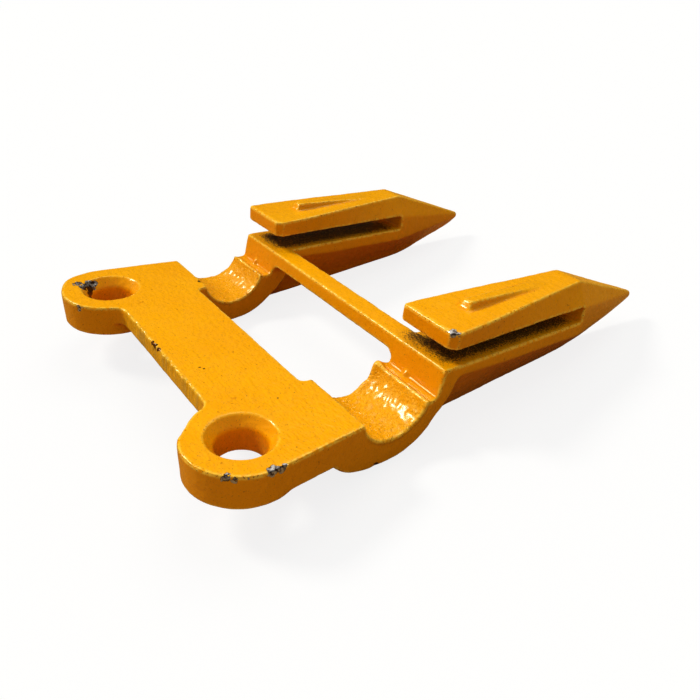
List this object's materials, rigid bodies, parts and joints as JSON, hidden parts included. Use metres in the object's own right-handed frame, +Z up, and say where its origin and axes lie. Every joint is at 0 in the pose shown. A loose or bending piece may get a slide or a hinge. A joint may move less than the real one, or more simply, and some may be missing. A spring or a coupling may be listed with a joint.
{
  "type": "double knife guard",
  "caption": "Painted forged knife guard for a sickle cutter bar: two bolt lugs on a bridge, troughed arms and pointed fingers with slotted upper lips, joined by a tie bar.",
  "frame": {"origin": "midway between the two bolt holes, on the seat face under the lugs", "axes": "+Y forward to the finger points, +Z up through the bolt holes, +X across to the right-hand finger"},
  "size_m": [0.1018, 0.1434, 0.0306],
  "materials": {
    "enamelled_steel": "glossy orange-yellow enamel over forged steel",
    "ledger_steel": "glossy orange-yellow enamel with a dark speckled ledger surface",
    "lip_steel": "glossy orange-yellow enamel with chipped edges"
  },
  "bodies": {
    "root": {"rear_web": "enamelled_steel", "left_mounting_lug": "enamelled_steel", "right_mounting_lug": "enamelled_steel", "left_arm": "enamelled_steel", "right_arm": "enamelled_steel", "left_finger_body": "ledger_steel", "right_finger_body": "ledger_steel", "tie_bar": "enamelled_steel", "left_upper_lip": "lip_steel", "right_upper_lip": "lip_steel", "left_nose": "enamelled_steel", "right_nose": "enamelled_steel"}
  },
  "joints": []
}
